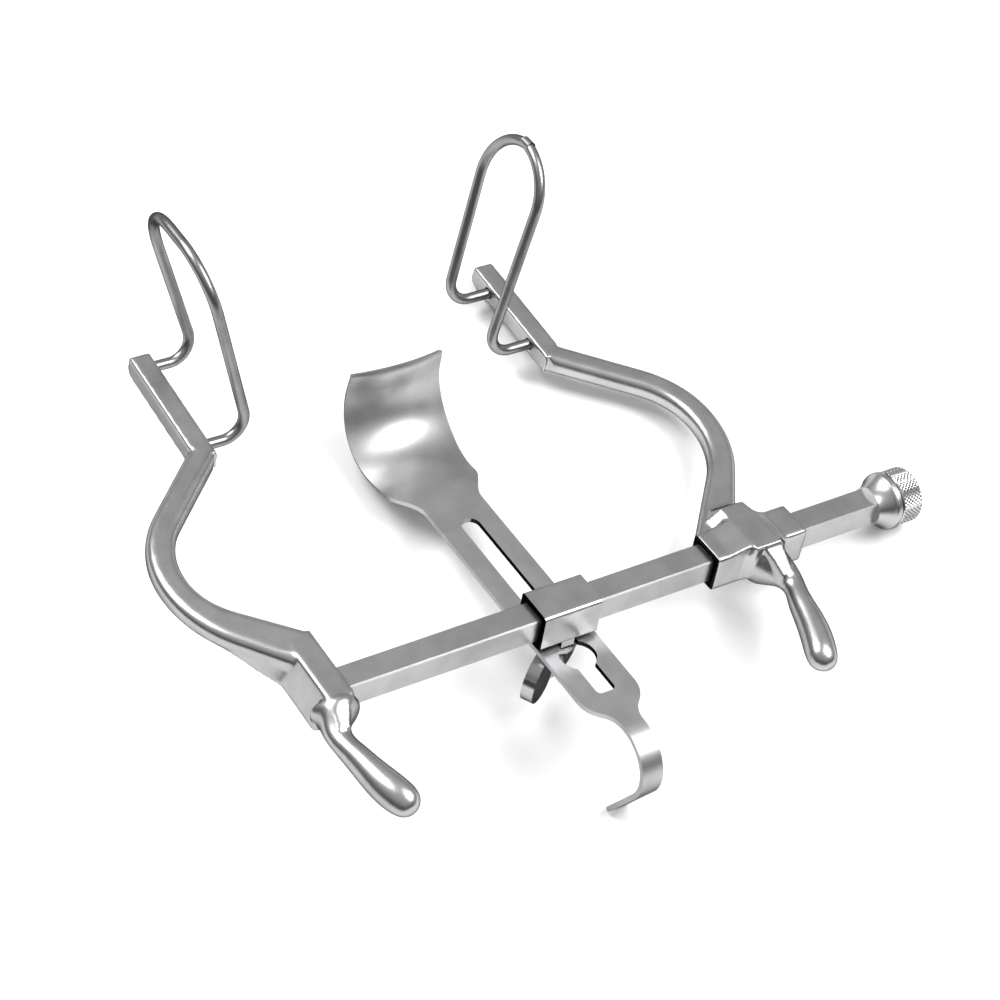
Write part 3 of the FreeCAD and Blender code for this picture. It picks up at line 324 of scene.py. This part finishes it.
def paint():
    """Gives every carried-over piece its finish. The corners of the walls with painted shade are
    in mm.
    """
    along_x, along_y, even = (0.05, 1.0, 1.0), (1.0, 0.05, 1.0), (1.0, 1.0, 1.0)
    # Boxes whose -X walls get painted shade: the carriage's and the sleeve's left ends, where the
    # gap around the bar lies in shadow, and the walls of the blade's slot.
    left_of_carriage = ((69.0, -8.0, -7.3), (71.0, 8.0, 7.3))
    left_of_sleeve = ((138.0, -7.4, -8.0), (140.0, 8.0, 7.4))
    slot_walls = ((75.0, -32.0, -12.0), (88.5, 60.0, -7.0))
    # Drawn stainless wire: a darker grey with one soft line of light along its top.
    wire = steel("drawn_wire_steel", DRAWN, (0.26, 0.36), even, 0.5, 0.002)
    # Turned stainless steel: the glossiest of the small parts, with crisp light and dark.
    turned = steel("turned_steel", SATIN, (0.14, 0.22), even, 0.4, 0.001)
    looks = {
        # Ground stainless steel: fine lines along the bar blur what it mirrors.
        "cross_bar": steel("ground_bar_steel", SATIN, (0.24, 0.36), along_x, 0.25, 0.003),
        # Forged and belt-polished stainless steel: broad soft highlights, faint clouds. The
        # left end of the sleeve is painted nearly black, a painted shadow for the gap around the
        # bar.
        "fixed_arm": steel("forged_arm_steel", SATIN, (0.24, 0.34), even, 0.5, 0.003),
        "sliding_arm": steel("forged_sleeve_steel", SATIN, (0.24, 0.34), even, 0.5, 0.003,
                             left_of_sleeve),
        # Milled stainless steel: even satin; its left end is painted nearly black, a painted
        # shadow for the gap around the bar.
        "blade_carriage": steel("milled_steel", SATIN, (0.24, 0.36), along_x, 0.25, 0.003,
                                left_of_carriage),
        # Pressed stainless sheet: the softest satin, so the saddle's highlight fades out. The
        # walls of its slot are painted nearly black, painted shade for the shadow inside the
        # slot.
        "center_blade": steel("pressed_sheet_steel", SATIN, (0.34, 0.42), along_y, 0.25, 0.002,
                              slot_walls),
        "fixed_wire_blade": wire, "sliding_wire_blade": wire,
        "clamp_stud": turned, "wing_nut": turned,
        # Turned stainless steel with a satin finish: rounded, with blurred bands.
        "stop_collar": steel("satin_collar_steel", SATIN, (0.26, 0.34), even, 0.4, 0.002),
    }
    for name, material in looks.items():
        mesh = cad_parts[name].data
        mesh.materials.clear()
        mesh.materials.append(material)


def round_edges(name):
    """Breaks a node's sharp edges as the polishing wheel does."""
    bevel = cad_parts[name].modifiers.new("broken_edges", "BEVEL")
    bevel.width = BROKEN_EDGE * MM
    bevel.segments = EDGE_FACETS
    bevel.limit_method = "ANGLE"
    bevel.angle_limit = EDGE_ANGLE
    bevel.harden_normals = True


def soften_forging(name):
    """Runs a forging's faces into each other, as the die and the polishing belt leave them."""
    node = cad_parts[name]
    skin = node.modifiers.new("forged_skin", "REMESH")
    skin.mode = "VOXEL"
    skin.voxel_size = FORGING_VOXEL * MM
    skin.use_smooth_shade = True
    belt = node.modifiers.new("belt_polish", "SMOOTH")
    belt.factor = 0.5
    belt.iterations = BELT_PASSES


place_camera()
place_floor()
set_world()
place_light("back_softbox", *BACK_SOFTBOX)
place_light("front_softbox", *FRONT_SOFTBOX)
paint()
soften_forging("fixed_arm")
soften_forging("sliding_arm")
round_edges("wing_nut")
make_knob()
bpy.context.scene.view_settings.view_transform = "Standard"
